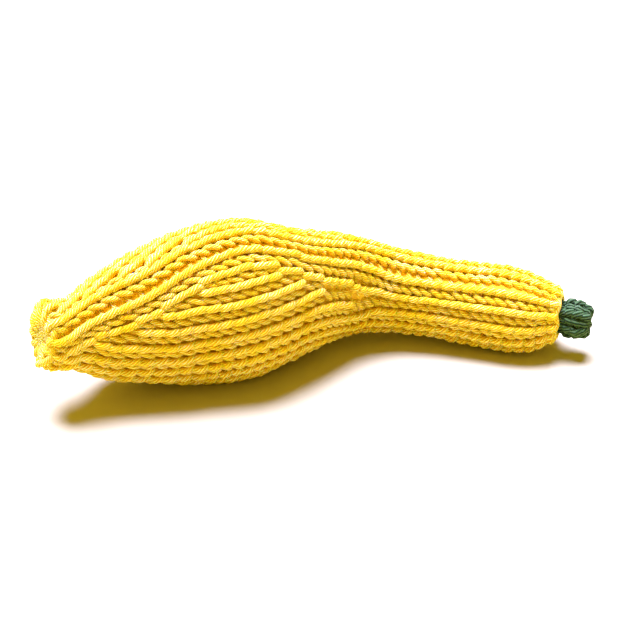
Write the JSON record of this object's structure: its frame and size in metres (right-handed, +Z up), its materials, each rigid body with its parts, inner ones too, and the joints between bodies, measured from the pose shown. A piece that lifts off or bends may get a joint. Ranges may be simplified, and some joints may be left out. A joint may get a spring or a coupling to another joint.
{
  "type": "knitted crookneck squash",
  "caption": "Hand-knitted, stuffed crookneck squash: a yellow stockinette cover with a fat bulb, a bent narrow neck and a short green knitted stem, lying on its side",
  "frame": {"origin": "middle of the bounding box, on the plane the squash rests on", "axes": "+X runs along the squash from the blossom end to the stem end, +Z is up, and -Y is the hollow side of the crook"},
  "size_m": [0.1697, 0.065, 0.049],
  "materials": {
    "yellow_yarn": "matt plied yarn in stockinette stitch, soft sheen on the strands, a little fuzz",
    "white_fibrefill": "loose matt polyester fibre",
    "green_yarn": "matt plied dark green yarn, knitted as a short cord"
  },
  "bodies": {
    "root": {"knitted_cover": "yellow_yarn", "fibrefill_stuffing": "white_fibrefill", "knitted_stem": "green_yarn"}
  },
  "joints": []
}
